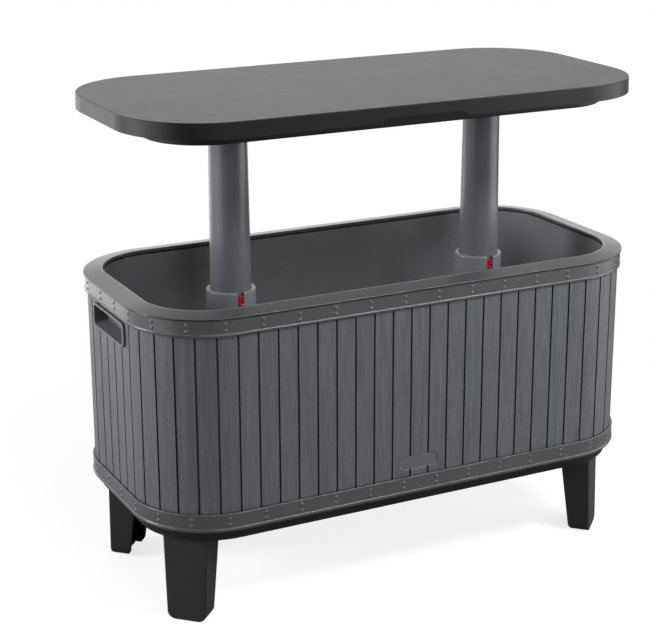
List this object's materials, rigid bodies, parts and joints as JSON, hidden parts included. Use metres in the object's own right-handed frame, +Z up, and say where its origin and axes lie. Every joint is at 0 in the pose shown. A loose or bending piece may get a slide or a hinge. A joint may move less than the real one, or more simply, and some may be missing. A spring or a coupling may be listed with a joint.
{
  "type": "cooler table with lid",
  "caption": "Oblong outdoor cooler with plank-look walls on short legs, whose lid is a flat table top that rises on sliding round posts.",
  "frame": {"origin": "centre of the footprint, on the floor under the feet", "axes": "+X along the length, +Z up, and -Y is the front, the side with the plaque and the finger notch"},
  "size_m": [0.8418, 0.4072, 0.7586],
  "materials": {
    "plank_grey": "fine vertical wood grain, matt",
    "trim_grey": "satin moulded resin",
    "liner_grey": "smooth satin resin",
    "table_grey": "fine texture, matt",
    "base_black": "fine texture, matt",
    "post_grey": "satin, slightly metallic pigment",
    "lever_red": "semi-gloss",
    "handle_grey": "satin moulded resin",
    "plaque_grey": "satin, bare",
    "drain_black": "satin",
    "seal_rubber": "matt",
    "steel": "plain zinc"
  },
  "bodies": {
    "tub": {"outer_shell": "plank_grey", "upper_band": "trim_grey", "lower_band": "trim_grey", "rim_frame": "trim_grey", "inner_liner": "liner_grey", "base_tray": "base_black", "leg_front_left": "base_black", "leg_front_right": "base_black", "leg_rear_left": "base_black", "leg_rear_right": "base_black", "leg_screws": "steel", "tray_screws": "steel", "sleeve_screws": "steel", "post_sleeve_left": "liner_grey", "post_sleeve_right": "liner_grey", "post_collar_left": "liner_grey", "post_collar_right": "liner_grey", "lever_pin_left": "steel", "lever_pin_right": "steel", "lever_spring_left": "steel", "lever_spring_right": "steel", "handle_cup_left": "handle_grey", "handle_cup_right": "handle_grey", "badge_plate": "plaque_grey", "drain_fitting": "drain_black", "drain_nut": "drain_black"},
    "table": {"table_top": "table_grey", "under_tray": "base_black", "lift_post_left": "post_grey", "lift_post_right": "post_grey", "post_guide_left": "post_grey", "post_guide_right": "post_grey", "post_screws": "steel", "lid_screws": "steel"},
    "lock_lever_left": {"lock_lever_left": "lever_red"},
    "lock_lever_right": {"lock_lever_right": "lever_red"},
    "drain_plug": {"drain_plug": "drain_black", "drain_seal": "seal_rubber"}
  },
  "joints": [
    {"name": "table_lift", "type": "slide", "parent": "tub", "child": "table", "axis": [0, 0, 1], "range_m": [-0.252, 0]},
    {"name": "lever_left_turn", "type": "hinge", "parent": "tub", "child": "lock_lever_left", "pos_m": [-0.22, -0.0351, 0.442], "axis": [-1, 0, 0], "range_deg": [0, 4], "stiffness_Nm_per_rad": 0.05, "springref_deg": -5.73},
    {"name": "lever_right_turn", "type": "hinge", "parent": "tub", "child": "lock_lever_right", "pos_m": [0.22, -0.0351, 0.442], "axis": [-1, 0, 0], "range_deg": [0, 4], "stiffness_Nm_per_rad": 0.05, "springref_deg": -5.73},
    {"name": "drain_plug_pull", "type": "slide", "parent": "tub", "child": "drain_plug", "axis": [0, 0, 1], "range_m": [0, 0.03]}
  ]
}
